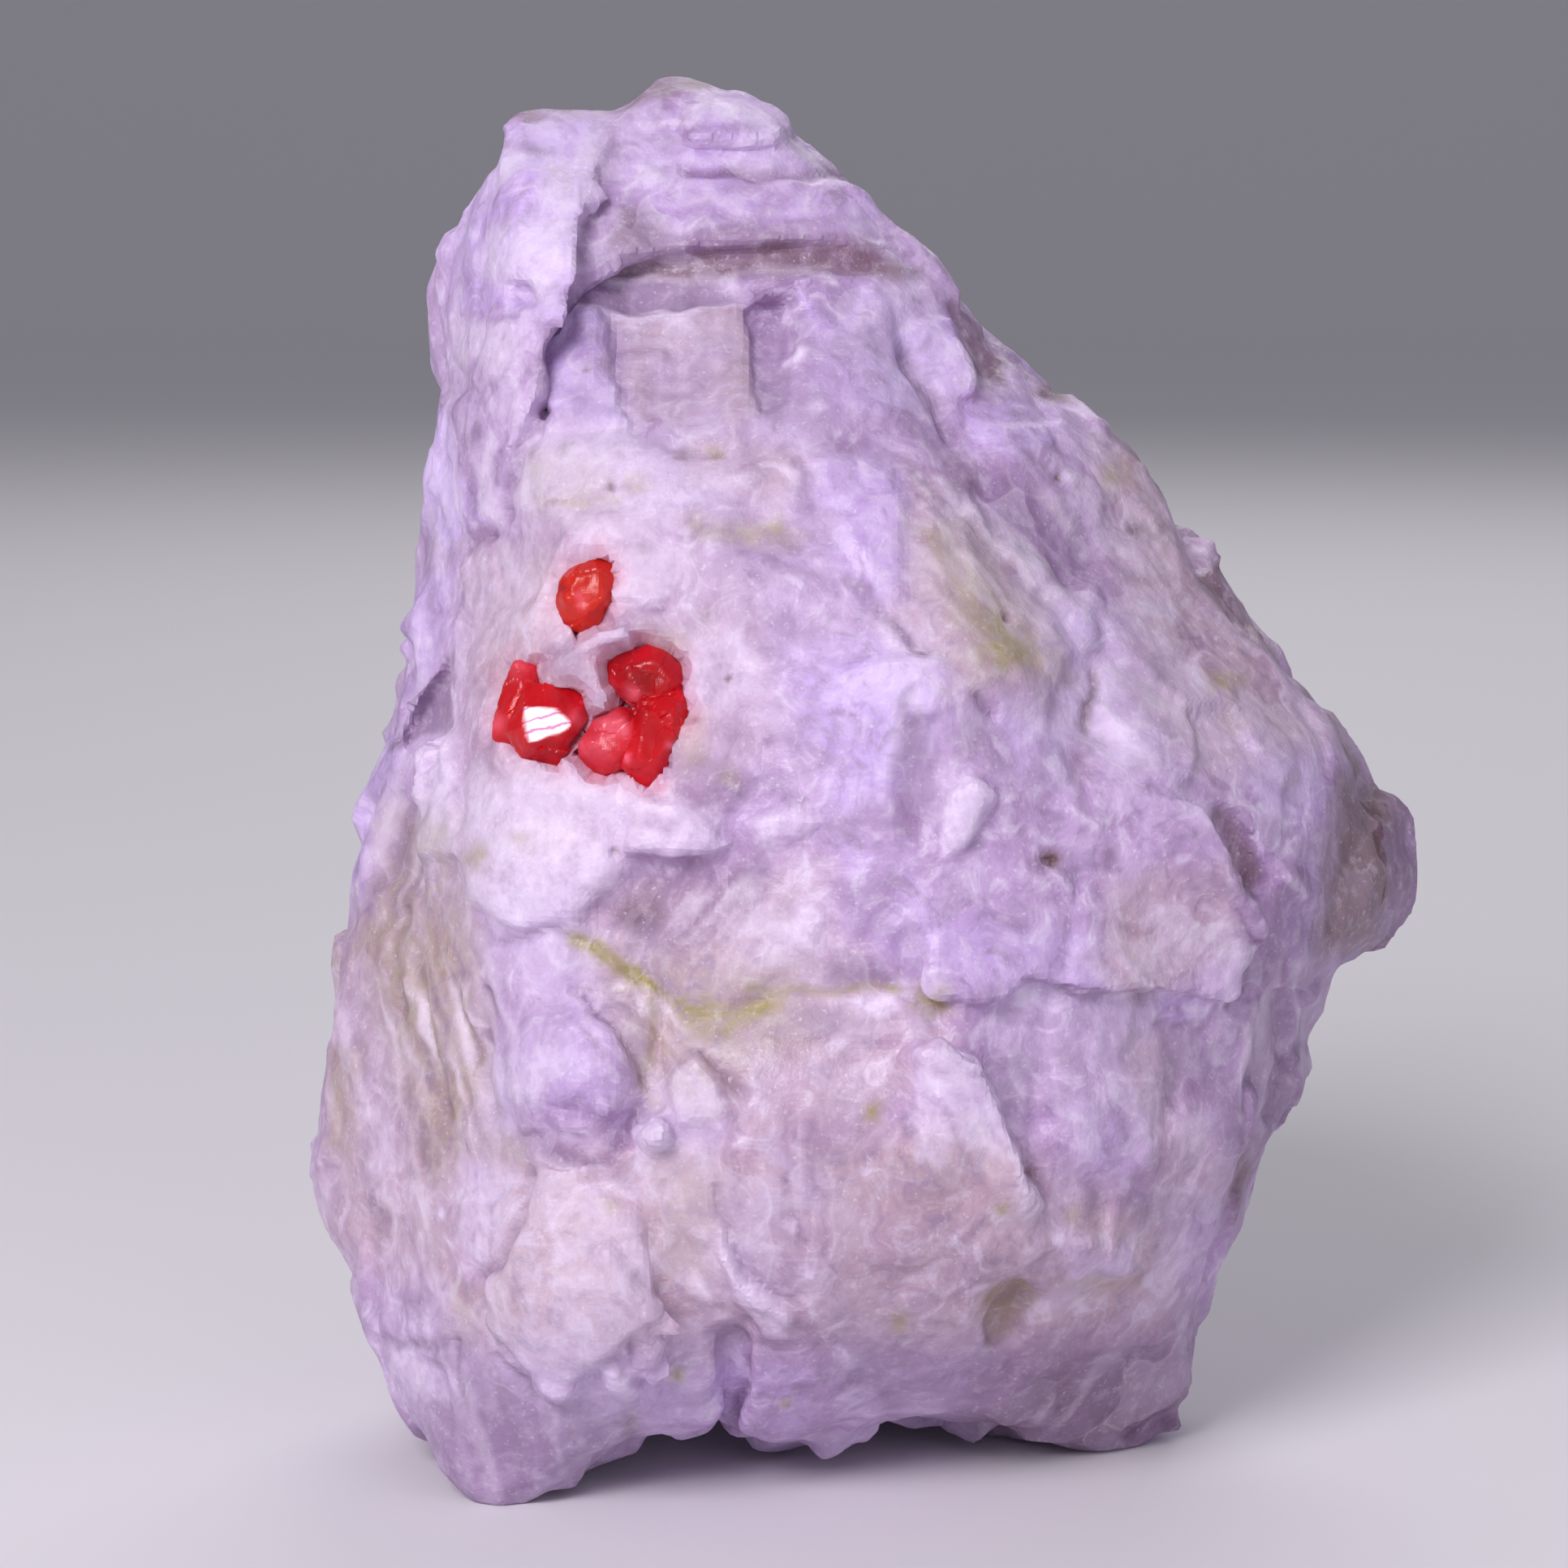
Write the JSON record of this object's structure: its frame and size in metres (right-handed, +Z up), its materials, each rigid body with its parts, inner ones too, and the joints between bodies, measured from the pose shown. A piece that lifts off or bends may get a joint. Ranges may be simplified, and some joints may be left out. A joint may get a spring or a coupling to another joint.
{
  "type": "ruby on matrix",
  "caption": "Upright broken block of pale lilac marble with faceted red ruby crystals set in its front face, standing on the flats of its feet.",
  "frame": {"origin": "on the ground under the middle of the stone's box", "axes": "+Z up as the stone stands, -Y out of the front face that holds the rubies, +X to the right as seen from the front"},
  "size_m": [0.0356, 0.0268, 0.0434],
  "materials": {
    "marble": "broken, coarse-grained and translucent",
    "ruby": "glassy crystal faces"
  },
  "bodies": {
    "root": {"matrix": "marble", "ruby_upper": "ruby", "ruby_left": "ruby", "ruby_right": "ruby"}
  },
  "joints": []
}
